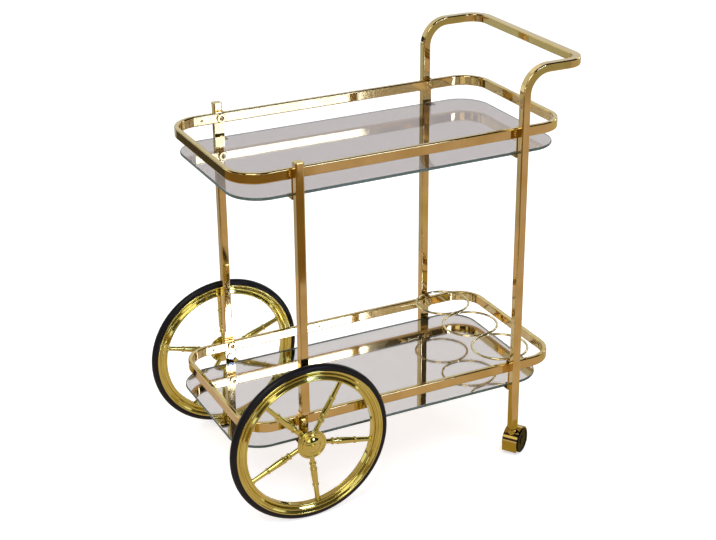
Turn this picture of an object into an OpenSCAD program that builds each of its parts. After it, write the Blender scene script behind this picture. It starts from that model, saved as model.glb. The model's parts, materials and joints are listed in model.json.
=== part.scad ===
// Two-tier dessert trolley: plated tube frame, glass and mirror shelves,
// bottle rings, two large spoked wheels and two hooded casters.
// +X runs from the large wheels to the push handle, -Y is the front, z = 0 is the floor.

/* [Overall] */
// Distance from the large wheels' axle to the handle legs
wheelbase = 430; // [380:1:500]
// Spacing of the front and rear posts, centre to centre
post_gap = 354.5; // [340:0.5:400]
// Height of the top of the left posts' caps
post_top = 662; // [655:1:700]
// Height of the handle's centre line
handle_z = 754.5; // [730:0.5:820]
// Reach of the handle from its legs to its outer face
handle_reach = 126; // [110:1:160]

/* [Square tube] */
// Outside width of the posts and of the handle tube
tube_w = 15.5; // [14:0.1:18]
// Wall of the square tube
tube_wall = 1.2; // [0.8:0.1:1.8]
// Outer edge radius of the square tube
tube_r = 2.4; // [1.4:0.1:3]
// Centre-line radius of the bend at the top of each leg
leg_bend_r = 45; // [35:1:60]
// Centre-line radius of the handle's two corners
handle_corner_r = 34; // [26:1:50]
// Height of the post cap above the tube
cap_h = 4; // [3:0.5:8]
// Lip of the post cap outside the tube
cap_lip = 0.5; // [0.2:0.1:1]
// Length of the cap's plug inside the tube
cap_plug = 8; // [5:1:15]

/* [Crushed post end] */
// Thickness of the flat tongue at a post's lower end
tongue_t = 3; // [2.6:0.1:4]
// Length of the tongue above the axle's centre
tongue_up = 38; // [34:1:45]
// Height over which the square tube narrows to the tongue
crush_h = 16; // [12:1:24]
// Width of the tongue
tongue_w = 18; // [16:0.5:22]
// Radius of the dome nut on a tongue
dome_nut_r = 5.5; // [4:0.5:7]

/* [Gallery rails] */
// Outside length of both rails
rail_len = 637; // [600:1:680]
// Height of the rail tube
rail_h = 19; // [16:0.5:24]
// Thickness of the rail tube
rail_t = 9; // [8:0.5:12]
// Wall of the rail tube
rail_wall = 1.2; // [0.8:0.1:1.8]
// Edge radius of the rail tube
rail_r = 2.4; // [1.3:0.1:2.5]
// Outside corner radius of the rails, seen from above
rail_corner_r = 56; // [45:1:70]
// Height of the upper rail's middle
upper_rail_z = 638; // [625:1:640]
// Height of the lower rail's middle above the large wheels' axle
lower_rail_up = 27.5; // [25:0.5:31]

/* [Rail fasteners] */
// Thickness of the ribbed spacer between rail and post
spacer_t = 2.5; // [2:0.5:6]
// Radius of the ribbed spacer at its ribs
spacer_r = 11; // [9:0.5:13]
// Ribs round a spacer
spacer_ribs = 16; // [10:1:20]
// Radius of one rib
rib_r = 1.6; // [1.2:0.1:2]
// Shank radius of the rail screws
screw_r = 2; // [1.5:0.1:2.5]
// Head radius of the rail screws
screw_head_r = 4.5; // [3.5:0.1:5.5]
// Radius of the cup washer under a screw head
washer_r = 9; // [7:0.5:9.5]
// Height of the cup washer
washer_h = 3; // [1.8:0.1:3.5]
// Head radius of the small rivets at the rails' joints
rivet_r = 2.6; // [1.8:0.1:3.5]
// Distance of the left joint rivets from the post's centre line
rivet_off = 38; // [30:1:60]

/* [Shelves] */
// Length of the glass and of the mirror
glass_len = 626; // [590:1:640]
// Depth of the glass and of the mirror
glass_dep = 322; // [300:1:326]
// Thickness of the glass and of the mirror
glass_t = 5; // [4:0.5:8]
// Corner radius of the glass, seen from above
glass_r = 60; // [45:1:75]
// Rounding of the glass edge
glass_edge_r = 1.2; // [0.6:0.1:1.5]
// Drop from the rail's middle to the shelf's top
shelf_drop = 36; // [32:1:45]
// How far the mirror lies towards the wheels
mirror_shift = 16; // [0:1:20]
// Thickness of the clip strip
clip_t = 1.5; // [1:0.1:2]
// Width of the clip strip
clip_w = 18; // [14:0.5:24]
// Length of the clip's foot under the shelf
clip_foot = 18; // [16:1:30]
// Radius of the clear pad on a clip's foot
pad_r = 4.5; // [3:0.5:5]
// Thickness of the clear pad
pad_t = 1.2; // [0.8:0.1:2]

/* [Bottle rings] */
// Centre-line radius of one ring
ring_r = 52.5; // [45:0.5:53]
// Wire diameter of the rings
wire_d = 4.4; // [2.5:0.1:5]
// Gap between the wires of neighbouring rings, closed by a brazed sleeve
ring_gap = 0.4; // [0.3:0.1:0.8]
// Height of the ring wire's centre above the rail's middle
ring_up = 16.5; // [15:0.5:25]
// Distance of the ring centres past the handle legs
ring_off = 8; // [0:0.5:16]
// Width of the lugs that carry the rings
lug_w = 10; // [7:0.5:12]
// Thickness of the lugs
lug_t = 1.5; // [1:0.1:2]

/* [Large wheels] */
// Wheel diameter over the tyre
wheel_d = 300; // [280:2:330]
// Distance of a wheel's middle plane from the post's centre line
wheel_off = 20; // [19.5:0.5:30]
// Radius of the tyre's round section
tyre_r = 7; // [5.5:0.5:8]
// Depth of the tyre on the rim, measured in from its tread
tyre_depth = 10; // [8:0.5:11]
// Radial height of the rim
rim_h = 19.5; // [15:0.5:24]
// Radius of one turned bead on the rim's face
bead_r = 1.7; // [1.2:0.1:2]
// Angle of the front wheel's first spoke
front_phase = 60; // [0:1:71]
// Angle of the rear wheel's first spoke
rear_phase = 21; // [0:1:71]
// Spokes in a wheel
spokes = 5; // [5:1:6]
// Greatest radius of a turned spoke
spoke_r = 6.6; // [5:0.1:6.8]
// Radius of the hub's barrel
hub_r = 14; // [12:0.5:18]
// Radius of the hub's flange
flange_r = 27.5; // [22:0.5:34]
// Thickness of the hub's flange
flange_t = 3.5; // [2.5:0.1:5]
// Radius of the domed hub cap
cap_dome_r = 17; // [14:0.5:20]
// Height of the domed hub cap
cap_dome_h = 7; // [6:0.5:10]
// Radius of the stub axle
axle_r = 4; // [3:0.5:5]
// Radius of the stub axle's head and of the wheel nut
nut_r = 6.5; // [6:0.1:8]

/* [Casters] */
// Diameter of a caster wheel
caster_d = 48; // [40:1:52]
// Length of the hood along the wheel's axis
hood_len = 29; // [26:0.5:36]
// Wall of the hood
hood_wall = 1.8; // [1.2:0.1:2.5]
// Height of the hood's lower edge
hood_low = 9; // [6:0.5:14]
// Thickness of the hood's web between its two wheels
web_w = 5; // [4:0.5:8]
// How far the wheels stand out of the hood's ends
wheel_proud = 2; // [0.5:0.5:4]
// Distance of the wheel's axis behind the swivel's axis
trail = 13.5; // [10:0.5:16]
// Direction in which the casters trail at rest
caster_turn = 35; // [0:1:90]
// Radius of the swivel stem
stem_r = 4; // [3:0.1:4.5]
// Length of the stem inside the leg
stem_len = 26; // [20:1:34]
// Radius of the caster's axle pin
pin_r = 3; // [2:0.1:4]

/* [Clearances] */
// Radial clearance of a turning shaft in its bore
running = 0.05; // [0.02:0.01:0.1]
// Clearance round a fixed screw, plug or tenon
fit = 0.1; // [0.05:0.01:0.2]
// Gap beside a turning piece
side_gap = 0.3; // [0.2:0.1:0.6]
// Radial gap between a caster wheel and its hood
hood_gap = 1.2; // [0.8:0.1:2]

/* [Hidden] */
$fn = 64;
eps = 0.5;
overall_len = wheel_d / 2 + wheelbase + handle_reach;
axle_x = wheel_d / 2 - overall_len / 2;
leg_x = axle_x + wheelbase;
mid_x = (axle_x + leg_x) / 2;
bar_x = leg_x + handle_reach - tube_w / 2;
post_y = post_gap / 2;
axle_z = wheel_d / 2;
lower_rail_z = axle_z + lower_rail_up;
// planes between a post and its rail, from outside to inside
post_in = post_y - tube_w / 2;
clip_in = post_in - clip_t;
rail_out = clip_in - spacer_t;
rail_in = rail_out - rail_t;
upper_glass_z = upper_rail_z - shelf_drop - glass_t;
lower_glass_z = lower_rail_z - shelf_drop - glass_t;
ring_z = lower_rail_z + ring_up;
ring_x = leg_x + ring_off;
ring_pitch = 2 * ring_r + wire_d + ring_gap;
tube_in = tube_w - 2 * tube_wall;
tube_in_r = tube_r - tube_wall + 0.2;
tube_top = post_top - cap_h;
// what fills a tube's end stays clear of the tube's inner corners
plug_w = tube_in - 2 * fit - 0.6;
cap_step = 1;
tongue_top = axle_z + tongue_up;
// large wheel
wheel_y = post_y + wheel_off;
tyre_seat = wheel_d / 2 - tyre_depth;
rim_in = tyre_seat - rim_h;
// radii of the three turned beads on the rim's face
rim_lip = tyre_seat - bead_r;
rim_mid = rim_in + rim_h * 0.52;
rim_foot = rim_in + bead_r;
// how deep the face's groove lies under the tyre's width
rim_groove = 4;
spool_len = 16.2;
spool_r = 7.2;
hub_back = post_in + tongue_t + spool_len + side_gap;
flange_out = 7.5;
flange_y = wheel_y + flange_out;
hub_front = flange_y + flange_t;
hub_bead = 1.4;
socket_roof = 4;
tenon_r = 2.2;
tenon_len = 3;
nut_h = 3;
head_h = 3;
nut_room = 2;
// rail screws: how far they reach past the clip strip, their heads and the cups that hold them
screw_end = 4.2;
screw_head_h = 2.6;
screw_dome_r = 5.2;
washer_edge = 1.2;
washer_seat = 0.8;
// dome nut: height of its hexagon and radius of its dome
hexagon_h = 2.6;
nut_dome_r = dome_nut_r * 0.9;
// lower rail's joint rivet, from the middle of the rail towards the wheels
rivet_mid_off = 29;
pad_inset = 1;
sleeve_r = wire_d * 0.72;
// caster
caster_r = caster_d / 2;
caster_z = caster_r;
hood_r = caster_r + hood_gap + hood_wall;
caster_wheel_w = (hood_len - web_w) / 2 - side_gap + wheel_proud;
wheel_face_t = 2;
tread_edge = 1.5;
// ring-shaped dish in a caster wheel's face: its width starts and ends this far from hub and tread
dish_in = 9;
dish_rim = 4;
dish_depth = 1;
pin_len = web_w + 2 * (side_gap + caster_wheel_w - wheel_face_t) - 1;
leg_bottom = caster_z + hood_r + 3.5;
socket_flange = 1.5;
boss_r = tube_w / 2 - 0.4;
// the stem's thinner foot ends inside the boss, above the room for the wheels
foot_r = stem_r - 0.5;
foot_len = hood_wall + 1.4;

gold = "goldenrod";
wheel_gold = "darkgoldenrod";

// ---- outlines and placing ----

module round_rect(w, h, r) {
    square([w - 2 * r, h], center = true);
    square([w, h - 2 * r], center = true);
    for (sx = [-1, 1], sy = [-1, 1])
        translate([sx * (w / 2 - r), sy * (h / 2 - r)]) circle(r);
}

module tube_outside() round_rect(tube_w, tube_w, tube_r);
module tube_inside() round_rect(tube_in, tube_in, tube_in_r);

// the rear piece as drawn, and its mirror image at the front
module both_sides() {
    children();
    mirror([0, 1, 0]) children();
}

module front_side() mirror([0, 1, 0]) children();

// turns a shape revolved about Z so that it points out along +Y
module facing_rear() rotate([-90, 0, 0]) children();

// ---- posts ----

// side view of a left post: square above, crushed to a tongue on its inner side below
module post_profile() {
    polygon([
        [post_in, axle_z],
        [post_in, tube_top],
        [post_y + tube_w / 2, tube_top],
        [post_y + tube_w / 2, tongue_top + crush_h],
        [post_in + tongue_t + tube_w / 3, tongue_top + crush_h / 3],
        [post_in + tongue_t, tongue_top],
        [post_in + tongue_t, axle_z]
    ]);
}

// front view of the crushed end: it spreads as the tube is flattened
module tongue_face() {
    polygon([
        [-tube_w / 2, tongue_top + crush_h],
        [tube_w / 2, tongue_top + crush_h],
        [tongue_w / 2, tongue_top],
        [tongue_w / 2, axle_z],
        [-tongue_w / 2, axle_z],
        [-tongue_w / 2, tongue_top]
    ]);
}

module post_shell() {
    translate([axle_x, post_y, tongue_top + crush_h])
        linear_extrude(tube_top - tongue_top - crush_h) tube_outside();
    intersection() {
        translate([axle_x - tube_w, 0, 0])
            rotate([90, 0, 90]) linear_extrude(2 * tube_w) post_profile();
        translate([axle_x, post_y + tube_w, 0])
            rotate([90, 0, 0]) linear_extrude(2 * tube_w) tongue_face();
    }
    // round end of the tongue
    translate([axle_x, post_in, axle_z]) facing_rear() cylinder(h = tongue_t, r = tongue_w / 2);
}

module left_post() {
    difference() {
        post_shell();
        translate([axle_x, post_y, tongue_top + crush_h])
            linear_extrude(tube_top - tongue_top) tube_inside();
        translate([axle_x, 0, axle_z]) facing_rear()
            cylinder(h = post_y, r = axle_r + fit);
        for (z = [upper_rail_z, lower_rail_z])
            translate([axle_x, rail_out, z]) facing_rear()
                cylinder(h = post_y - rail_out, r = screw_r + fit);
    }
}

module front_left_post() color(gold) front_side() left_post();
module rear_left_post() color(gold) left_post();

module post_cap() {
    lip_w = tube_w + 2 * cap_lip;
    translate([axle_x, post_y, tube_top]) {
        linear_extrude(cap_h - cap_step) round_rect(lip_w, lip_w, tube_r);
        translate([0, 0, cap_h - cap_step]) linear_extrude(cap_step)
            round_rect(lip_w - 2 * cap_step, lip_w - 2 * cap_step, tube_r);
        translate([0, 0, -cap_plug]) linear_extrude(cap_plug) square(plug_w, center = true);
    }
}

module post_caps() color(gold) both_sides() post_cap();

// ---- handle tube: leg, bend, arm, corner, bar, and back down ----

module along_handle(extra) {
    both_sides() {
        translate([leg_x, post_y, leg_bottom - extra])
            linear_extrude(handle_z - leg_bend_r - leg_bottom + extra) children();
        translate([leg_x + leg_bend_r, post_y, handle_z - leg_bend_r])
            rotate([90, 0, 0]) rotate([0, 0, 90])
                rotate_extrude(angle = 90) translate([leg_bend_r, 0]) children();
        translate([leg_x + leg_bend_r, post_y, handle_z]) rotate([90, 0, 90])
            linear_extrude(bar_x - handle_corner_r - leg_x - leg_bend_r) children();
        translate([bar_x - handle_corner_r, post_y - handle_corner_r, handle_z])
            rotate_extrude(angle = 90) translate([handle_corner_r, 0]) children();
    }
    translate([bar_x, post_y - handle_corner_r, handle_z]) rotate([90, 0, 0])
        linear_extrude(2 * (post_y - handle_corner_r)) children();
}

module handle_tube() {
    color(gold) difference() {
        along_handle(0) tube_outside();
        along_handle(eps) tube_inside();
        both_sides() for (z = [upper_rail_z, lower_rail_z])
            translate([leg_x, rail_out, z]) facing_rear()
                cylinder(h = post_y - rail_out, r = screw_r + fit);
    }
}

// ---- rails ----

// sweeps a section round a loop whose outside size is len by dep
module round_loop(len, dep, corner) {
    line = corner - rail_t / 2;
    hx = len / 2 - corner;
    hy = dep / 2 - corner;
    for (k = [0 : 3]) {
        sx = (k == 0 || k == 3) ? 1 : -1;
        sy = (k < 2) ? 1 : -1;
        translate([sx * hx, sy * hy, 0]) rotate([0, 0, 90 * k])
            rotate_extrude(angle = 90) translate([line, 0]) children();
    }
    for (sy = [-1, 1])
        translate([-hx, sy * (hy + line), 0]) rotate([90, 0, 90])
            linear_extrude(2 * hx) children();
    for (sx = [-1, 1])
        translate([sx * (hx + line), hy, 0]) rotate([90, 0, 0])
            linear_extrude(2 * hy) children();
}

module rail(z) {
    difference() {
        translate([mid_x, 0, z]) round_loop(rail_len, 2 * rail_out, rail_corner_r)
            round_rect(rail_t, rail_h, rail_r);
        translate([mid_x, 0, z]) round_loop(rail_len, 2 * rail_out, rail_corner_r)
            square([rail_t - 2 * rail_wall, rail_h - 2 * rail_wall], center = true);
        both_sides() for (x = [axle_x, leg_x])
            translate([x, rail_in - eps, z]) facing_rear()
                cylinder(h = rail_t + 2 * eps, r = screw_r + fit);
    }
}

module upper_rail() color(gold) rail(upper_rail_z);
module lower_rail() color(gold) rail(lower_rail_z);

// ---- what joins rail and post ----

// places a child, drawn pointing out along +Z, at a rail's four posts
module at_posts(y, z) {
    both_sides() for (x = [axle_x, leg_x])
        translate([x, y, z]) facing_rear() children();
}

module ribbed_spacer() {
    difference() {
        linear_extrude(spacer_t) union() {
            circle(spacer_r - rib_r);
            for (k = [0 : spacer_ribs - 1])
                rotate(360 / spacer_ribs * k) translate([spacer_r - rib_r, 0])
                    circle(rib_r, $fn = 24);
        }
        translate([0, 0, -eps]) cylinder(h = spacer_t + 2 * eps, r = screw_r + fit);
    }
}

module upper_rail_spacers() color(gold) at_posts(rail_out, upper_rail_z) ribbed_spacer();
module lower_rail_spacers() color(gold) at_posts(rail_out, lower_rail_z) ribbed_spacer();

// the cup opens towards the screw's head; z = 0 is its seat, and it grows towards -Z
module cup_washer() {
    bore = screw_r + fit;
    flat_r = washer_r - washer_edge;
    rotate_extrude() difference() {
        union() {
            translate([bore, -washer_h]) square([flat_r - bore, washer_h]);
            translate([flat_r, -washer_h + washer_edge]) circle(washer_edge, $fn = 32);
            translate([flat_r, -washer_h + washer_edge])
                square([washer_edge, washer_h - washer_edge]);
        }
        translate([0, -washer_h - eps]) square([screw_head_r + fit, washer_seat + eps]);
    }
}

module rail_screw(extra) {
    length = rail_t + spacer_t + clip_t + screw_end;
    seat = washer_seat - washer_h;
    translate([0, 0, -extra]) rotate_extrude() {
        translate([0, seat]) square([screw_r, extra + length - seat]);
        intersection() {
            translate([0, seat + screw_dome_r - screw_head_h]) circle(screw_dome_r);
            translate([0, seat - screw_head_h]) square([screw_head_r, screw_head_h]);
        }
    }
}

module cup_washers(z, lug) {
    both_sides() {
        translate([axle_x, rail_in, z]) facing_rear() cup_washer();
        translate([leg_x, rail_in - lug, z]) facing_rear() cup_washer();
    }
}

module rail_screws(z, lug) {
    both_sides() {
        translate([axle_x, rail_in, z]) facing_rear() rail_screw(0);
        translate([leg_x, rail_in, z]) facing_rear() rail_screw(lug);
    }
}

// dome nut on the tongue's outer face, on the end of the lower rail's screw
module dome_nut() {
    reach = screw_end - tongue_t + 6 * fit;
    difference() {
        union() {
            cylinder(h = hexagon_h, r = dome_nut_r, $fn = 6);
            intersection() {
                translate([0, 0, hexagon_h - 1]) sphere(nut_dome_r);
                cylinder(h = 2 * nut_dome_r, r = nut_dome_r);
            }
        }
        translate([0, 0, -eps]) cylinder(h = reach + eps, r = screw_r + fit);
    }
}

module dome_nuts() {
    color(gold) both_sides()
        translate([axle_x, post_in + tongue_t, lower_rail_z]) facing_rear() dome_nut();
}

module upper_cup_washers() color(gold) cup_washers(upper_rail_z, 0);
module lower_cup_washers() color(gold) cup_washers(lower_rail_z, lug_t);
module upper_rail_screws() color(gold) rail_screws(upper_rail_z, 0);
module lower_rail_screws() color(gold) rail_screws(lower_rail_z, lug_t);

module rivet() {
    dome_r = rivet_r * 1.3;
    sink = sqrt(dome_r * dome_r - rivet_r * rivet_r);
    intersection() {
        translate([0, 0, sink]) sphere(dome_r);
        translate([0, 0, -dome_r]) cylinder(h = dome_r, r = rivet_r);
    }
}

module rail_rivets() {
    color(gold) for (p = [[axle_x - rivet_off, upper_rail_z], [axle_x - rivet_off, lower_rail_z],
                          [mid_x - rivet_mid_off, lower_rail_z]])
        translate([p[0], rail_in, p[1]]) facing_rear() rivet();
}

// ---- shelves and their clips ----

module glass_clip(x, rail_z, glass_z, axle_hole) {
    foot_top = glass_z - pad_t;
    strip_top = rail_z + rail_h / 2;
    difference() {
        union() {
            translate([x - clip_w / 2, clip_in, foot_top - clip_t])
                cube([clip_w, clip_t, strip_top - foot_top + clip_t]);
            translate([x - clip_w / 2, clip_in - clip_foot, foot_top - clip_t])
                cube([clip_w, clip_foot + clip_t, clip_t]);
        }
        translate([x, clip_in - eps, rail_z]) facing_rear()
            cylinder(h = clip_t + 2 * eps, r = screw_r + fit);
        if (axle_hole)
            translate([x, clip_in - eps, axle_z]) facing_rear()
                cylinder(h = clip_t + 2 * eps, r = axle_r + fit);
    }
}

module upper_glass_clips() {
    color(gold) both_sides() for (x = [axle_x, leg_x])
        glass_clip(x, upper_rail_z, upper_glass_z, false);
}

module lower_glass_clips() {
    color(gold) both_sides() {
        glass_clip(axle_x, lower_rail_z, lower_glass_z, true);
        glass_clip(leg_x, lower_rail_z, lower_glass_z, false);
    }
}

module clip_pads(glass_z) {
    both_sides() for (x = [axle_x, leg_x])
        translate([x, clip_in - clip_foot + pad_r + pad_inset, glass_z - pad_t])
            cylinder(h = pad_t, r = pad_r);
}

module upper_clip_pads() color("whitesmoke") clip_pads(upper_glass_z);
module lower_clip_pads() color("whitesmoke") clip_pads(lower_glass_z);

// a plate with round corners and softly rounded edges
module shelf_plate() {
    corner = glass_r - glass_edge_r;
    flat_t = glass_t - 2 * glass_edge_r;
    translate([0, 0, glass_edge_r]) linear_extrude(flat_t)
        round_rect(glass_len, glass_dep, glass_r);
    linear_extrude(glass_t)
        round_rect(glass_len - 2 * glass_edge_r, glass_dep - 2 * glass_edge_r, corner);
}

module upper_glass() {
    color("lavender", 0.4) translate([mid_x, 0, upper_glass_z]) shelf_plate();
}

module lower_mirror() {
    color("silver") translate([mid_x - mirror_shift, 0, lower_glass_z]) shelf_plate();
}

// ---- bottle rings ----

module bottle_rings() {
    color(gold) {
        for (k = [-1 : 1])
            translate([ring_x, k * ring_pitch, ring_z])
                rotate_extrude($fn = 96) translate([ring_r, 0]) circle(wire_d / 2, $fn = 24);
        for (s = [-1, 1])
            translate([ring_x - wire_d, s * ring_pitch / 2, ring_z]) rotate([0, 90, 0])
                cylinder(h = 2 * wire_d, r = sleeve_r);
    }
}

module ring_lug() {
    shelf_z = ring_z - wire_d / 2 - lug_t;
    low_z = lower_rail_z - washer_r;
    difference() {
        union() {
            translate([leg_x - lug_w / 2, rail_in - lug_t, low_z])
                cube([lug_w, lug_t, shelf_z + lug_t - low_z]);
            translate([leg_x - lug_w / 2, rail_in - lug_t, shelf_z])
                cube([lug_w, rail_t + lug_t, lug_t]);
        }
        translate([leg_x, rail_in - lug_t - eps, lower_rail_z]) facing_rear()
            cylinder(h = lug_t + 2 * eps, r = screw_r + fit);
    }
}

module ring_lugs() color(gold) both_sides() ring_lug();

// ---- stub axles ----

module stub_axle() {
    tip = flange_y + nut_h + 1;
    translate([axle_x, clip_in, axle_z]) facing_rear() {
        cylinder(h = tip - clip_in, r = axle_r);
        translate([0, 0, -head_h]) cylinder(h = head_h, r = nut_r);
    }
}

// three turned beads on a sleeve round the axle
module axle_spool() {
    spool_bead = spool_len / 7;
    translate([axle_x, post_in + tongue_t, axle_z]) facing_rear() rotate_extrude() difference() {
        union() {
            square([spool_r, spool_len]);
            for (k = [1, 3.5, 6])
                translate([spool_r, spool_bead * k]) circle(spool_bead, $fn = 32);
        }
        translate([0, -eps]) square([axle_r + fit, spool_len + 2 * eps]);
    }
}

module wheel_nut() {
    translate([axle_x, flange_y + side_gap, axle_z]) facing_rear() difference() {
        cylinder(h = nut_h, r = nut_r, $fn = 6);
        translate([0, 0, -eps]) cylinder(h = nut_h + 2 * eps, r = axle_r + fit);
    }
}

module front_stub_axle() color("silver") front_side() stub_axle();
module rear_stub_axle() color("silver") stub_axle();
module front_axle_spool() color(wheel_gold) front_side() axle_spool();
module rear_axle_spool() color(wheel_gold) axle_spool();
module front_wheel_nut() color("silver") front_side() wheel_nut();
module rear_wheel_nut() color("silver") wheel_nut();

// ---- large wheels, drawn round the Z axis with the outside up ----

module at_wheel() translate([axle_x, wheel_y, axle_z]) facing_rear() children();

// places a child, drawn along +X from the hub, at each spoke; angles run from +X upwards
module at_spokes(phase) {
    for (k = [0 : spokes - 1]) rotate([0, 0, -phase - 360 / spokes * k]) children();
}

module tyre() {
    rotate_extrude($fn = 128) intersection() {
        translate([wheel_d / 2 - tyre_r, 0]) circle(tyre_r, $fn = 48);
        translate([tyre_seat + fit, -tyre_r]) square([tyre_depth, 2 * tyre_r]);
    }
}

// section of the rim's channel, stepped down towards its middle on both faces
module rim_channel() {
    face = [
        [rim_in + 0.4, tyre_r - 1.6],
        [rim_foot + bead_r, tyre_r - 2],
        [rim_mid - bead_r * 1.6, tyre_r - rim_groove],
        [rim_mid, tyre_r - 2.2],
        [rim_mid + bead_r * 1.6, tyre_r - 3.4],
        [rim_lip - bead_r, tyre_r - 2],
        [rim_lip, tyre_r - 0.6],
        [tyre_seat, tyre_r - 1]
    ];
    back = [for (k = [len(face) - 1 : -1 : 0]) [face[k][0], -face[k][1]]];
    polygon(concat(face, back));
}

// turned beads on the rim's faces: [radius from the axis, height, bead radius]
rim_beads = [
    [rim_lip, tyre_r - 1, bead_r],
    [rim_mid, tyre_r - 2.4, bead_r * 0.9],
    [rim_foot, tyre_r - 1.8, bead_r]
];

module rim(phase) {
    difference() {
        union() {
            rotate_extrude($fn = 128) rim_channel();
            for (b = rim_beads, s = [-1, 1])
                rotate_extrude($fn = 128) translate([b[0], s * b[1]]) circle(b[2], $fn = 32);
        }
        at_spokes(phase) translate([rim_in - eps, 0, 0]) rotate([0, 90, 0])
            cylinder(h = tenon_len + eps + 2 * fit, r = tenon_r + fit);
    }
}

// bead round a spoke, at a fraction of its length, as wide as a share of its own radius
module spoke_bead(place, r, width) {
    translate([0, place]) round_rect(2 * r, width * r, width * r * 0.48);
}

// turned spoke: collar, neck, two full beads, barrel, ring, slim outer part and collar
module spoke_outline(length) {
    neck = spoke_r * 0.66;
    barrel = spoke_r * 0.9;
    outer = spoke_r * 0.7;
    polygon([
        [0, 0],
        [barrel, 0],
        [neck, length * 0.05],
        [neck, length * 0.26],
        [spoke_r * 0.8, length * 0.33],
        [barrel, length * 0.42],
        [barrel, length * 0.5],
        [spoke_r * 0.76, length * 0.67],
        [outer, length * 0.73],
        [outer * 0.9, length * 0.97],
        [outer * 0.9, length],
        [0, length]
    ]);
    spoke_bead(length * 0.28, spoke_r, 0.9);
    spoke_bead(length * 0.385, spoke_r, 0.9);
    spoke_bead(length * 0.7, spoke_r * 0.95, 0.7);
    translate([0, length - 1]) square([2 * spoke_r * 0.8, 2], center = true);
}

module spoke() {
    start = hub_r + 0.4;
    length = rim_in - 0.2 - start;
    translate([start, 0, 0]) rotate([0, 90, 0]) rotate_extrude($fn = 32) {
        intersection() {
            spoke_outline(length);
            square([spoke_r * 2, length]);
        }
        translate([0, -tenon_len]) square([tenon_r, length + 2 * tenon_len]);
    }
}

// barrel with a stepped flange at the outside; the front recess holds the wheel nut
module hub(phase) {
    back = hub_back - wheel_y;
    face = flange_y - wheel_y;
    difference() {
        rotate_extrude() {
            translate([0, back]) square([hub_r, face - back]);
            translate([hub_r - 1, back + hub_bead]) circle(hub_bead, $fn = 32);
            translate([0, face]) square([flange_r - hub_bead, flange_t]);
            translate([flange_r - hub_bead, face + hub_bead]) circle(hub_bead, $fn = 32);
            translate([flange_r - 3 * hub_bead, face + flange_t]) circle(1, $fn = 32);
        }
        translate([0, 0, back - eps]) cylinder(h = face - back + 2 * eps, r = axle_r + running);
        translate([0, 0, face]) cylinder(h = flange_t + eps, r = nut_r + nut_room);
        at_spokes(phase) translate([hub_r - tenon_len, 0, 0]) rotate([0, 90, 0])
            cylinder(h = tenon_len + eps, r = tenon_r + fit);
    }
}

// domed cap with a stepped foot and a button at its middle
module hub_cap() {
    face = hub_front - wheel_y;
    top = face + cap_dome_h;
    button_r = cap_dome_r * 0.3;
    button_h = 1.2;
    foot_step = 2;
    foot_h = 1.6;
    // the axle's end and the wheel nut stand in this hollow
    hollow_h = 3;
    dome_r = (cap_dome_r * cap_dome_r + cap_dome_h * cap_dome_h) / (2 * cap_dome_h);
    rotate_extrude() difference() {
        union() {
            intersection() {
                translate([0, top - dome_r]) circle(dome_r, $fn = 96);
                translate([0, face]) square([cap_dome_r, cap_dome_h]);
            }
            translate([0, face]) square([cap_dome_r + foot_step, foot_h]);
            translate([0, top - 1]) square([button_r, 1 + button_h]);
        }
        translate([0, face - eps]) square([nut_r + nut_room, hollow_h + eps]);
        translate([-dome_r, 0]) square([dome_r, 4 * cap_dome_h]);
    }
}

module front_tyre() color("dimgray") front_side() at_wheel() tyre();
module rear_tyre() color("dimgray") at_wheel() tyre();
module front_rim() color(wheel_gold) front_side() at_wheel() rim(front_phase);
module rear_rim() color(wheel_gold) at_wheel() rim(rear_phase);
module front_spokes() color(wheel_gold) front_side() at_wheel() at_spokes(front_phase) spoke();
module rear_spokes() color(wheel_gold) at_wheel() at_spokes(rear_phase) spoke();
module front_hub() color(wheel_gold) front_side() at_wheel() hub(front_phase);
module rear_hub() color(wheel_gold) at_wheel() hub(rear_phase);
module front_hub_cap() color(wheel_gold) front_side() at_wheel() hub_cap();
module rear_hub_cap() color(wheel_gold) at_wheel() hub_cap();

// ---- casters ----

// plastic grip in the lower end of a leg, bored for the stem
module caster_socket() {
    translate([0, 0, leg_bottom]) difference() {
        union() {
            linear_extrude(stem_len + socket_roof) square(plug_w, center = true);
            translate([0, 0, -socket_flange]) linear_extrude(socket_flange)
                round_rect(tube_w, tube_w, tube_r);
        }
        translate([0, 0, -socket_flange - eps])
            cylinder(h = stem_len + 2 + eps, r = stem_r + running);
    }
}

module at_leg(side) translate([leg_x, side * post_y, 0]) children();

// the caster's own frame: the stem is on the Z axis and the wheels trail along +X
module at_caster(side) at_leg(side) rotate([0, 0, caster_turn]) children();

module hood_side(r) {
    circle(r, $fn = 96);
    translate([-r, -caster_z]) square([2 * r, caster_z]);
}

module across_caster(w) {
    translate([trail, w / 2, caster_z]) rotate([90, 0, 0]) linear_extrude(w) children();
}

// a hood over both wheels, a web between them and a boss for the stem
module caster_hood() {
    top = leg_bottom - socket_flange - side_gap;
    space_r = hood_r - hood_wall;
    difference() {
        union() {
            across_caster(hood_len) hood_side(hood_r);
            translate([0, 0, caster_z]) cylinder(h = top - caster_z, r = boss_r);
        }
        for (s = [-1, 1])
            translate([0, s * (web_w + hood_len) / 2, 0]) across_caster(hood_len) hood_side(space_r);
        translate([trail - caster_d, -caster_d, hood_low - caster_d])
            cube([2 * caster_d, 2 * caster_d, caster_d]);
        across_caster(2 * hood_len) circle(pin_r + fit);
        translate([0, 0, top - foot_len]) cylinder(h = foot_len + eps, r = foot_r + fit);
    }
}

// the stem is riveted into the hood's boss with a thinner foot
module caster_stem() {
    top = leg_bottom - socket_flange - side_gap;
    translate([0, 0, top]) cylinder(h = stem_len, r = stem_r);
    translate([0, 0, top - foot_len + fit]) cylinder(h = foot_len, r = foot_r);
}

module caster_pin() {
    across_caster(pin_len) circle(pin_r);
}

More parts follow.
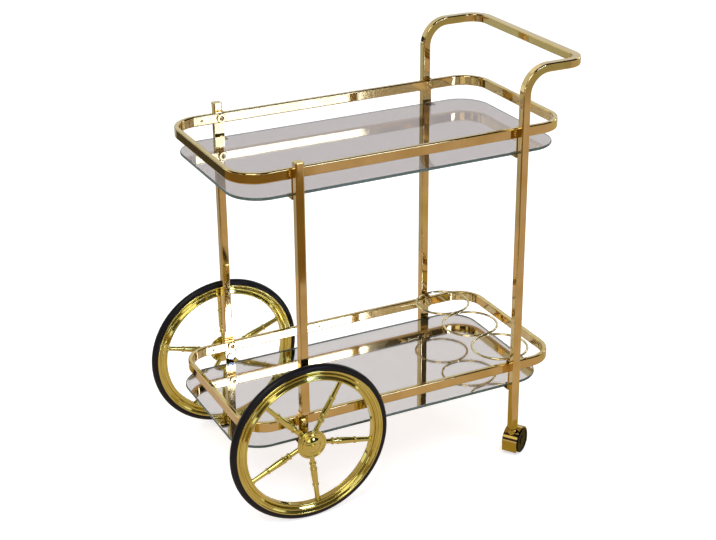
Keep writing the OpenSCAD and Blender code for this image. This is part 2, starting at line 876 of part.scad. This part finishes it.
// one wheel: tread, dished outer face and a centre dome that covers the pin
module caster_wheel(side) {
    inner = web_w / 2 + side_gap;
    w = caster_wheel_w;
    translate([trail, 0, caster_z]) rotate([-90 * side, 0, 0]) translate([0, 0, inner])
        rotate_extrude($fn = 96) difference() {
            union() {
                square([caster_r, w - tread_edge]);
                square([caster_r - tread_edge, w]);
                translate([caster_r - tread_edge, w - tread_edge]) circle(tread_edge, $fn = 32);
            }
            translate([0, -eps]) square([pin_r + running, w - wheel_face_t + eps]);
            translate([dish_in, w - dish_depth])
                square([caster_r - dish_rim - dish_in, dish_depth + eps]);
        }
}

module front_caster_socket() color("gray") at_leg(-1) caster_socket();
module rear_caster_socket() color("gray") at_leg(1) caster_socket();
module front_caster_hood() color(gold) at_caster(-1) caster_hood();
module rear_caster_hood() color(gold) at_caster(1) caster_hood();
module front_caster_stem() color("silver") at_caster(-1) caster_stem();
module rear_caster_stem() color("silver") at_caster(1) caster_stem();
module front_caster_pin() color("silver") at_caster(-1) caster_pin();
module rear_caster_pin() color("silver") at_caster(1) caster_pin();
module front_caster_wheel_left() color("dimgray") at_caster(-1) caster_wheel(1);
module front_caster_wheel_right() color("dimgray") at_caster(-1) caster_wheel(-1);
module rear_caster_wheel_left() color("dimgray") at_caster(1) caster_wheel(1);
module rear_caster_wheel_right() color("dimgray") at_caster(1) caster_wheel(-1);

front_left_post();
rear_left_post();
post_caps();
handle_tube();
upper_rail();
lower_rail();
upper_rail_spacers();
lower_rail_spacers();
upper_cup_washers();
lower_cup_washers();
upper_rail_screws();
lower_rail_screws();
dome_nuts();
rail_rivets();
upper_glass_clips();
lower_glass_clips();
upper_clip_pads();
lower_clip_pads();
upper_glass();
lower_mirror();
bottle_rings();
ring_lugs();
front_stub_axle();
rear_stub_axle();
front_axle_spool();
rear_axle_spool();
front_wheel_nut();
rear_wheel_nut();
front_tyre();
front_rim();
front_spokes();
front_hub();
front_hub_cap();
rear_tyre();
rear_rim();
rear_spokes();
rear_hub();
rear_hub_cap();
front_caster_socket();
rear_caster_socket();
front_caster_hood();
rear_caster_hood();
front_caster_stem();
rear_caster_stem();
front_caster_pin();
rear_caster_pin();
front_caster_wheel_left();
front_caster_wheel_right();
rear_caster_wheel_left();
rear_caster_wheel_right();
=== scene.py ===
import json
import math

import bmesh
import bpy
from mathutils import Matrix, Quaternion, Vector


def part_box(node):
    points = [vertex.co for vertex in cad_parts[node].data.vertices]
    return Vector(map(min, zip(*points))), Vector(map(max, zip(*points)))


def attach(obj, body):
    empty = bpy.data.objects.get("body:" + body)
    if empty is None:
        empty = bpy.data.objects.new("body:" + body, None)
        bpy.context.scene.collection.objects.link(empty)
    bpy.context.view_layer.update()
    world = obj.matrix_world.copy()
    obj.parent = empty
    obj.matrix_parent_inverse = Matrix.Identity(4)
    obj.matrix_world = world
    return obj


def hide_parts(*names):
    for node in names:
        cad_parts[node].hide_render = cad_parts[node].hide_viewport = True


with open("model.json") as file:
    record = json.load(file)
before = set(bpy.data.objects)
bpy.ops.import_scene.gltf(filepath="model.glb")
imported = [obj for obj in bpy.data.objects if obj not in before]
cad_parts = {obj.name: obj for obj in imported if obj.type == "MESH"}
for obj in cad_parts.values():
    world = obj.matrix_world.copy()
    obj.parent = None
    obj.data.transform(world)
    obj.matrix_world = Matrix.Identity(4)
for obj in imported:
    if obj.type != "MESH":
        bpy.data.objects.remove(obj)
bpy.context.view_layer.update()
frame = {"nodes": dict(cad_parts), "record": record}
MM = 0.001

# ---------------------------------------------------------------- colours and nodes


def linear(hex_colour):
    """A colour written as sRGB hex, turned into the linear RGBA that Blender works in."""
    red_green_blue = []
    for i in (0, 2, 4):
        part = int(hex_colour[i : i + 2], 16) / 255
        dark = part <= 0.04045
        red_green_blue.append(part / 12.92 if dark else ((part + 0.055) / 1.055) ** 2.4)
    return (*red_green_blue, 1.0)


def add(tree, kind, links=(), **settings):
    """Adds a node. A setting is a property, or an input by name; links are (output, input name)."""
    node = tree.nodes.new(kind)
    for key, value in settings.items():
        if hasattr(node, key):
            setattr(node, key, value)
        else:
            node.inputs[key.replace("_", " ")].default_value = value
    for output, name in links:
        tree.links.new(output, node.inputs[name])
    return node


def new_material(name, **settings):
    """A Principled material whose settings are the shader's own sockets."""
    material = bpy.data.materials.new(name)
    material.use_nodes = True
    tree = material.node_tree
    shader = tree.nodes["Principled BSDF"]
    for key, value in settings.items():
        shader.inputs[key.replace("_", " ")].default_value = value
    return material, tree, shader


def grain(tree, size_mm, detail=3.0, roughness=0.55, stretch=(1, 1, 1)):
    """Noise on the object's own coordinates, with marks about size_mm across."""
    place = add(tree, "ShaderNodeTexCoord")
    scaled = add(tree, "ShaderNodeMapping", [(place.outputs["Object"], "Vector")], Scale=stretch)
    noise = add(
        tree, "ShaderNodeTexNoise", [(scaled.outputs["Vector"], "Vector")],
        Scale=1 / (size_mm * MM), Detail=detail, Roughness=roughness,
    )
    return noise.outputs["Fac"]


# ---------------------------------------------------------------- materials

# sizes of the marks; real wipe marks and mould grain are finer than the picture can show, so
# theirs are drawn coarser
PLATE_CLOUD_MM = 45
WIPE_MM = 4
DUST_CLOUD_MM = 18
ZINC_BLOOM_MM = 3
ZINC_GRAIN_MM = 0.6
CLOTH_SMEAR_MM = 30
EDGE_RUB_MM = 6
SILVER_CLOUD_MM = 60
VINYL_CLOUD_MM = 2

GLASS_IOR = 1.52
VINYL_IOR = 1.5
# how fast light dies away inside the glass, per metre
GLASS_ABSORPTION = 7.0


def gold_electroplate(name, colour, deep, roughness, wave_mm, wave):
    """Yellow-gold electroplate on buffed steel, under clear lacquer.

    Buffing leaves a mirror with slow waves in it, fine wipe marks in the gloss, and a deeper
    tone where the plate is thicker."""
    material, tree, shader = new_material(
        name, Metallic=1.0, Coat_Weight=0.6, Coat_Roughness=0.02
    )
    thickness = add(
        tree, "ShaderNodeMapRange", [(grain(tree, PLATE_CLOUD_MM, 2.0), "Value")],
        From_Min=0.35, From_Max=0.7,
    )
    tint = add(
        tree, "ShaderNodeMix", [(thickness.outputs["Result"], "Factor")],
        data_type="RGBA", A=linear(colour), B=linear(deep),
    )
    tree.links.new(tint.outputs["Result"], shader.inputs["Base Color"])
    wipes = grain(tree, WIPE_MM, 4.0, 0.65, (1, 1, 0.25))
    gloss = add(
        tree, "ShaderNodeMapRange", [(wipes, "Value")],
        From_Min=0.35, From_Max=0.75, To_Min=roughness, To_Max=roughness * 2.2,
    )
    tree.links.new(gloss.outputs["Result"], shader.inputs["Roughness"])
    slow = add(
        tree, "ShaderNodeBump", [(grain(tree, wave_mm, 1.0), "Height")],
        Strength=wave, Distance=1.2 * MM,
    )
    fine = add(
        tree, "ShaderNodeBump", [(wipes, "Height"), (slow.outputs["Normal"], "Normal")],
        Strength=0.04, Distance=0.02 * MM,
    )
    tree.links.new(fine.outputs["Normal"], shader.inputs["Normal"])
    return material


def moulded(name, colour, dusty, roughness, shine, grain_mm, depth):
    """Moulded plastic or rubber: the mould's fine grain, and dust that greys it a little."""
    material, tree, shader = new_material(name, Specular_IOR_Level=shine)
    film = grain(tree, DUST_CLOUD_MM, 4.0, 0.6)
    dust = add(
        tree, "ShaderNodeMapRange", [(film, "Value")], From_Min=0.45, From_Max=0.8, To_Max=0.7
    )
    tint = add(
        tree, "ShaderNodeMix", [(dust.outputs["Result"], "Factor")],
        data_type="RGBA", A=linear(colour), B=linear(dusty),
    )
    tree.links.new(tint.outputs["Result"], shader.inputs["Base Color"])
    gloss = add(
        tree, "ShaderNodeMapRange", [(film, "Value")],
        From_Min=0.3, From_Max=0.7, To_Min=roughness * 0.85, To_Max=roughness * 1.2,
    )
    tree.links.new(gloss.outputs["Result"], shader.inputs["Roughness"])
    fine = add(
        tree, "ShaderNodeBump", [(grain(tree, grain_mm, 2.0), "Height")],
        Strength=depth, Distance=0.1 * MM,
    )
    tree.links.new(fine.outputs["Normal"], shader.inputs["Normal"])
    return material


def zinc_plated_steel():
    """Bright zinc on turned steel: a grey metal with a fine grain that blurs what it shows."""
    material, tree, shader = new_material("bright_zinc_steel", Metallic=1.0)
    bloom = grain(tree, ZINC_BLOOM_MM, 4.0, 0.6)
    tint = add(
        tree, "ShaderNodeMix", [(bloom, "Factor")],
        data_type="RGBA", A=linear("DADBD6"), B=linear("C4C6C3"),
    )
    tree.links.new(tint.outputs["Result"], shader.inputs["Base Color"])
    gloss = add(
        tree, "ShaderNodeMapRange", [(bloom, "Value")],
        From_Min=0.3, From_Max=0.7, To_Min=0.14, To_Max=0.28,
    )
    tree.links.new(gloss.outputs["Result"], shader.inputs["Roughness"])
    fine = add(
        tree, "ShaderNodeBump", [(grain(tree, ZINC_GRAIN_MM), "Height")],
        Strength=0.1, Distance=0.03 * MM,
    )
    tree.links.new(fine.outputs["Normal"], shader.inputs["Normal"])
    return material


def float_glass(name, tint, depth_colour):
    """Float glass, drawn flat on molten tin: faintly grey through its face, blue-green where
    the light runs a long way inside it, with the trace of a wiping cloth."""
    material, tree, shader = new_material(
        name, Transmission_Weight=1.0, IOR=GLASS_IOR, Roughness=0.0, Base_Color=linear(tint)
    )
    absorb = add(
        tree, "ShaderNodeVolumeAbsorption", Density=GLASS_ABSORPTION, Color=linear(depth_colour)
    )
    tree.links.new(absorb.outputs["Volume"], tree.nodes["Material Output"].inputs["Volume"])
    smear = add(
        tree, "ShaderNodeBump", [(grain(tree, CLOTH_SMEAR_MM, 5.0, 0.6), "Height")],
        Strength=0.02, Distance=0.05 * MM,
    )
    tree.links.new(smear.outputs["Normal"], shader.inputs["Normal"])
    return material


def ground_edge():
    """The glass's edge, ground and half polished: satin, grey-green from the depth behind it."""
    material, tree, shader = new_material(
        "ground_glass_edge", Transmission_Weight=0.35, IOR=GLASS_IOR
    )
    rubbed = grain(tree, EDGE_RUB_MM, 4.0, 0.6, (1, 1, 0.3))
    tint = add(
        tree, "ShaderNodeMix", [(rubbed, "Factor")],
        data_type="RGBA", A=linear("4E6259"), B=linear("74877D"),
    )
    tree.links.new(tint.outputs["Result"], shader.inputs["Base Color"])
    gloss = add(
        tree, "ShaderNodeMapRange", [(rubbed, "Value")],
        From_Min=0.3, From_Max=0.7, To_Min=0.12, To_Max=0.3,
    )
    tree.links.new(gloss.outputs["Result"], shader.inputs["Roughness"])
    return material


def silvering():
    """Silver laid on the back of the mirror's glass: near-perfect reflection, a little grey."""
    material, tree, shader = new_material("mirror_silvering", Metallic=1.0)
    cloud = grain(tree, SILVER_CLOUD_MM)
    tint = add(
        tree, "ShaderNodeMix", [(cloud, "Factor")],
        data_type="RGBA", A=linear("E1DEDD"), B=linear("DAD7D6"),
    )
    tree.links.new(tint.outputs["Result"], shader.inputs["Base Color"])
    gloss = add(
        tree, "ShaderNodeMapRange", [(cloud, "Value")], From_Min=0.3, From_Max=0.7, To_Max=0.015
    )
    tree.links.new(gloss.outputs["Result"], shader.inputs["Roughness"])
    return material


def clear_vinyl():
    """Soft clear vinyl, moulded: cloudy, and smooth from its mould."""
    material, tree, shader = new_material(
        "clear_vinyl_pad", Transmission_Weight=0.6, IOR=VINYL_IOR, Specular_IOR_Level=0.4
    )
    cloud = grain(tree, VINYL_CLOUD_MM)
    tint = add(
        tree, "ShaderNodeMix", [(cloud, "Factor")],
        data_type="RGBA", A=linear("F3F5F4"), B=linear("E3E7E6"),
    )
    tree.links.new(tint.outputs["Result"], shader.inputs["Base Color"])
    gloss = add(
        tree, "ShaderNodeMapRange", [(cloud, "Value")],
        From_Min=0.3, From_Max=0.7, To_Min=0.25, To_Max=0.4,
    )
    tree.links.new(gloss.outputs["Result"], shader.inputs["Roughness"])
    return material


GLASS_CLEAR = float_glass("tinted_float_glass", "AEA6A5", "6FA8A6")
GLASS_OVER_SILVER = float_glass("mirror_float_glass", "FAF4F3", "6FA8A6")
SILVER = silvering()
GLASS_EDGE = ground_edge()
LOOKS = {
    "frame_gold": gold_electroplate("frame_gold_electroplate", "E0C684", "D3B56E", 0.045, 60, 0.10),
    "wheel_gold": gold_electroplate("wheel_gold_electroplate", "E3D87E", "D6C968", 0.05, 30, 0.12),
    "tyre_rubber": moulded("black_tyre_rubber", "121014", "1B191E", 0.34, 0.25, 1.2, 0.08),
    "caster_black": moulded("black_moulded_plastic", "0B0A0C", "151416", 0.25, 0.12, 0.8, 0.06),
    "socket_plastic": moulded("black_socket_plastic", "161617", "202022", 0.5, 0.25, 0.8, 0.10),
    "zinc_steel": zinc_plated_steel(),
    "clear_glass": GLASS_CLEAR,
    "mirror_glass": SILVER,
    "clear_pad": clear_vinyl(),
}

# the rings' thin wire is painted paler than the tube's gold, a painted sheen for the bright
# highlights along the rings, and its gloss is a little softer than the buffed tube's
WIRE_GOLD_WITH_PAINTED_SHEEN = gold_electroplate("wire_gold_electroplate_painted_sheen", "EFE0AE", "E2D094", 0.09, 20, 0.10)

for part in frame["record"]["subparts"]:
    wire = part["node"] == "bottle_rings"
    for held in frame["nodes"][part["node"]].material_slots:
        # the rings get the paler gold, whose paleness is a painted sheen
        held.material = WIRE_GOLD_WITH_PAINTED_SHEEN if wire else LOOKS[part["material_slot"]]

# ---------------------------------------------------------------- mesh helpers

FLAT_BORDER = 0.4 * MM
SHARP_EDGE = math.radians(40)
QUARTER_TURN = math.radians(90)


def mesh_object(mesh, name):
    """Makes a bmesh into a named object in the scene."""
    data = bpy.data.meshes.new(name)
    mesh.to_mesh(data)
    mesh.free()
    made = bpy.data.objects.new(name, data)
    bpy.context.collection.objects.link(made)
    return made


def keep_piece(mesh, name, body, materials):
    """Makes a bmesh into a named, smoothly shaded piece that rides on a body."""
    bmesh.ops.recalc_face_normals(mesh, faces=mesh.faces)
    piece = mesh_object(mesh, name)
    for material in materials:
        piece.data.materials.append(material)
    piece.data.polygons.foreach_set("use_smooth", [True] * len(piece.data.polygons))
    piece.data.set_sharp_from_angle(angle=SHARP_EDGE)
    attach(piece, body)
    return piece


def round_outline(length, depth, corner, inset, steps=24):
    """Points of a rectangle with round corners, drawn in by inset, about its middle."""
    radius = corner - inset
    points = []
    for quarter, (sx, sy) in enumerate(((1, 1), (-1, 1), (-1, -1), (1, -1))):
        cx = sx * (length / 2 - corner)
        cy = sy * (depth / 2 - corner)
        for k in range(steps + 1):
            turn = QUARTER_TURN * (quarter + k / steps)
            points.append((cx + radius * math.cos(turn), cy + radius * math.sin(turn)))
    return points


def plate(low, high, corner, edge_radius, steps=6):
    """A flat plate with round corners and a pencil-ground edge, between two box corners.

    A narrow flat border inside the edge keeps the faces' shading level."""
    mesh = bmesh.new()
    length, depth, thick = (high[i] - low[i] for i in range(3))
    mid_x, mid_y = ((high[i] + low[i]) / 2 for i in range(2))
    levels = [(edge_radius + FLAT_BORDER, 0)]
    for k in range(steps + 1):
        turn = QUARTER_TURN * k / steps
        levels.append((edge_radius * (1 - math.sin(turn)), edge_radius * (1 - math.cos(turn))))
    levels += [(inset, thick - up) for inset, up in reversed(levels)]
    rings = []
    for inset, up in levels:
        outline = round_outline(length, depth, corner, inset)
        rings.append([mesh.verts.new((mid_x + x, mid_y + y, low[2] + up)) for x, y in outline])
    count = len(rings[0])
    for lower, upper in zip(rings, rings[1:]):
        for k in range(count):
            after = (k + 1) % count
            mesh.faces.new((lower[k], lower[after], upper[after], upper[k]))
    mesh.faces.new(list(reversed(rings[0])))
    mesh.faces.new(rings[-1])
    return mesh


# ---------------------------------------------------------------- shelves

SHELF_CORNER = 60 * MM
PENCIL_EDGE = 2.1 * MM


def shelf(node, name, face_glass, back=None):
    """A glass plate in place of the CAD plate, with a ground edge and, for a mirror, a silvered
    back."""
    low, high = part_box(node)
    materials = [face_glass, GLASS_EDGE] + ([back] if back else [])
    piece = keep_piece(
        plate(low, high, SHELF_CORNER, PENCIL_EDGE), name, "frame", materials
    )
    hair = 1e-6
    for face in piece.data.polygons:
        level, slope = face.center.z, abs(face.normal.z)
        if low[2] + hair < level < high[2] - hair and slope < 0.95:
            face.material_index = 1
        elif back and level < low[2] + FLAT_BORDER and slope > 0.99:
            face.material_index = 2
    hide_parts(node)
    return piece


upper_glass = shelf("upper_glass", "upper_shelf_glass", GLASS_CLEAR)
# clear glass throws next to no shadow, and a traced one would be black
upper_glass.visible_shadow = False
shelf("lower_mirror", "lower_mirror_plate", GLASS_OVER_SILVER, SILVER)

# ---------------------------------------------------------------- studio

FLOOR_SIZE = 14
# how far the floor glows by itself, where it shows as background
FLOOR_LIFT = 0.55
# how bright the white room is as a light, where 1 is white
ROOM_LIGHT = 0.65


def rays_to_background(tree):
    """1 for the rays that show the background: straight, mirrored and through glass."""
    rays = add(tree, "ShaderNodeLightPath")
    seen = rays.outputs["Is Camera Ray"]
    for kind in ("Is Glossy Ray", "Is Transmission Ray"):
        both = add(tree, "ShaderNodeMath", operation="MAXIMUM")
        tree.links.new(seen, both.inputs[0])
        tree.links.new(rays.outputs[kind], both.inputs[1])
        seen = both.outputs[0]
    return seen


def white_floor():
    """A white sweep that holds the soft shadow, lifted to white where it shows as background."""
    bpy.ops.mesh.primitive_plane_add(size=FLOOR_SIZE, location=(0, 0, 0))
    floor = bpy.context.object
    floor.name = "studio_floor"
    material, tree, shader = new_material(
        "studio_white", Roughness=0.7, Specular_IOR_Level=0.2,
        Base_Color=linear("F2F2F2"), Emission_Color=linear("FFFFFF"),
    )
    lift = add(
        tree, "ShaderNodeMapRange", [(rays_to_background(tree), "Value")], To_Max=FLOOR_LIFT
    )
    tree.links.new(lift.outputs["Result"], shader.inputs["Emission Strength"])
    floor.data.materials.append(material)


def white_world():
    """A white room: full white as background, dimmer as a light."""
    world = bpy.data.worlds.new("studio")
    bpy.context.scene.world = world
    world.use_nodes = True
    tree = world.node_tree
    background = tree.nodes["Background"]
    background.inputs["Color"].default_value = linear("FFFFFF")
    strength = add(
        tree, "ShaderNodeMapRange", [(rays_to_background(tree), "Value")], To_Min=ROOM_LIGHT
    )
    tree.links.new(strength.outputs["Result"], background.inputs["Strength"])


def card(name, corners, colour, glow=1.0):
    """A sheet that only polished surfaces see, as a studio sets out round metal."""
    mesh = bmesh.new()
    mesh.faces.new([mesh.verts.new(corner) for corner in corners])
    sheet = mesh_object(mesh, name)
    material, _, _ = new_material(
        name, Roughness=1.0, Specular_IOR_Level=0.0, Base_Color=linear("000000"),
        Emission_Color=linear(colour), Emission_Strength=glow,
    )
    sheet.data.materials.append(material)
    for way in ("camera", "diffuse", "transmission", "shadow", "volume_scatter"):
        setattr(sheet, "visible_" + way, False)


def flat_card(name, low, high, colour, up):
    """A level card at a height, from one corner to the other."""
    (x0, y0), (x1, y1) = low, high
    card(name, [(x0, y0, up), (x1, y0, up), (x1, y1, up), (x0, y1, up)], colour)


def wall_card(name, left, right, low, high, colour, glow):
    """An upright card, from its left end to its right end and between two heights."""
    card(name, [(*left, low), (*right, low), (*right, high), (*left, high)], colour, glow)


def area_lamp(name, place, size, radiance, colour="FFFFFF"):
    """A softbox turned to the trolley; radiance is how bright its face looks, where 1 is white."""
    data = bpy.data.lights.new(name, "AREA")
    data.color = linear(colour)[:3]
    data.shape = "RECTANGLE"
    data.size, data.size_y = size
    data.energy = radiance * math.pi * size[0] * size[1]
    lamp = bpy.data.objects.new(name, data)
    bpy.context.collection.objects.link(lamp)
    lamp.location = place
    lamp.rotation_euler = (TROLLEY_MIDDLE - Vector(place)).to_track_quat("-Z", "Y").to_euler()


def camera():
    """Viewpoint of the photograph, fitted to the trolley's sizes."""
    data = bpy.data.cameras.new("view")
    cam = bpy.data.objects.new("view", data)
    bpy.context.collection.objects.link(cam)
    bpy.context.scene.camera = cam
    yaw, pitch, roll = (math.radians(turn) for turn in CAMERA_YAW_PITCH_ROLL)
    ahead = math.cos(pitch)
    forward = Vector((math.sin(yaw) * ahead, math.cos(yaw) * ahead, -math.sin(pitch)))
    cam.location = CAMERA_PLACE
    cam.rotation_mode = "QUATERNION"
    cam.rotation_quaternion = forward.to_track_quat("-Z", "Y") @ Quaternion((0, 0, 1), -roll)
    data.sensor_width = SENSOR_WIDTH_MM
    data.lens = SENSOR_WIDTH_MM * FOCAL_LENGTH_PX / PHOTO_WIDTH_PX
    data.clip_end = 50


CAMERA_PLACE = (-1.1319, -2.2619, 1.4895)
CAMERA_YAW_PITCH_ROLL = (26.41, 24.1, 0.5)
SENSOR_WIDTH_MM = 36
PHOTO_WIDTH_PX = 716
FOCAL_LENGTH_PX = 1500
TROLLEY_MIDDLE = Vector((0, 0, 0.4))

# name, one corner and the other on the floor, and colour; a later card lies on an earlier one.
# They give polished gold its tones: tan around it, dark where the photograph's gold is dark
FLOOR_CARDS = (
    ("front_far_card", (-4.0, -5.0), (4.0, -2.0), "B8A28E"),
    ("front_right_far_card", (1.5, -3.4), (3.6, -2.0), "A8A488"),
    ("front_card", (-4.0, -2.0), (4.0, -0.75), "C8B3A7"),
    ("rear_card", (-4.0, 0.75), (4.0, 5.0), "B4B0A8"),
    ("rear_cool_card", (-2.0, 1.93), (-0.6, 3.2), "B9BFB4"),
    ("rear_left_dark_card", (-2.8, 1.3), (-0.84, 1.93), "4A4334"),
    ("left_card", (-4.0, -0.75), (-0.9, 1.3), "A0958F"),
    ("left_far_dark_card", (-4.0, -0.75), (-1.2, 1.3), "83683A"),
    ("left_front_dark_card", (-3.0, -2.4), (-0.25, -0.75), "83683A"),
    ("left_front_corner_dark_card", (-0.3, -2.4), (0.5, -1.08), "83683A"),
    ("near_card", (-0.9, -0.75), (0.62, 0.75), "CDB7A4"),
    ("right_card", (0.62, -0.75), (3.2, 1.4), "C6B68E"),
    # the next card is painted shade: a dim brown patch standing in for the shaded floor round the
    # caster, as the caster's gold reflects it
    ("caster_painted_shade_card", (0.05, -0.29), (0.5, 0.29), "AA954B"),
)
FIRST_CARD_UP = 1 * MM
CARD_STEP_UP = 0.2 * MM

# name, left and right end on the floor plan, lower and upper height, colour and glow. Dark walls
# draw the dark lines along rounded edges, light sheets their highlights
WALL_CARDS = (
    ("camera_side_dark_card", (-5.0, -3.6), (4.5, -3.6), 0.35, 4.0, "4A453C", 1.0),
    ("camera_side_light_card", (-2.3, -3.5), (-0.6, -3.5), 1.0, 2.8, "FFF6DC", 1.6),
    ("left_dark_card", (-3.6, -3.6), (-3.6, 1.0), 0.2, 3.0, "3A362E", 1.0),
    ("left_light_card", (-3.5, -1.5), (-3.5, -0.6), 1.5, 3.0, "EADFAE", 1.2),
    ("right_side_dark_card", (3.8, -3.6), (3.8, 1.4), 0.2, 3.0, "2B2822", 1.0),
    ("rear_horizon_card", (-4.0, 6.0), (8.0, 6.0), 0.1, 1.5, "3A362E", 1.0),
    ("rear_backdrop_card", (-4.0, 5.5), (8.0, 5.5), 1.5, 4.6, "DDE0DE", 1.0),
)
CEILING_UP = 3.3

white_floor()
white_world()
for order, (name, low, high, colour) in enumerate(FLOOR_CARDS):
    flat_card(name, low, high, colour, FIRST_CARD_UP + order * CARD_STEP_UP)
for wall in WALL_CARDS:
    wall_card(*wall)
flat_card("ceiling_dark_card", (-6.0, -5.0), (6.0, 3.0), "2B2822", CEILING_UP)
area_lamp("front_strobe", (1.1, -2.6, 1.57), (0.66, 0.5), 16.0, "B8CAFF")
area_lamp("key_softbox", (-1.3, -1.4, 2.5), (1.2, 1.2), 4.5)
area_lamp("side_strip", (2.4, 0.3, 1.3), (0.35, 1.6), 4.0)
camera()
bpy.context.scene.view_settings.view_transform = "Standard"
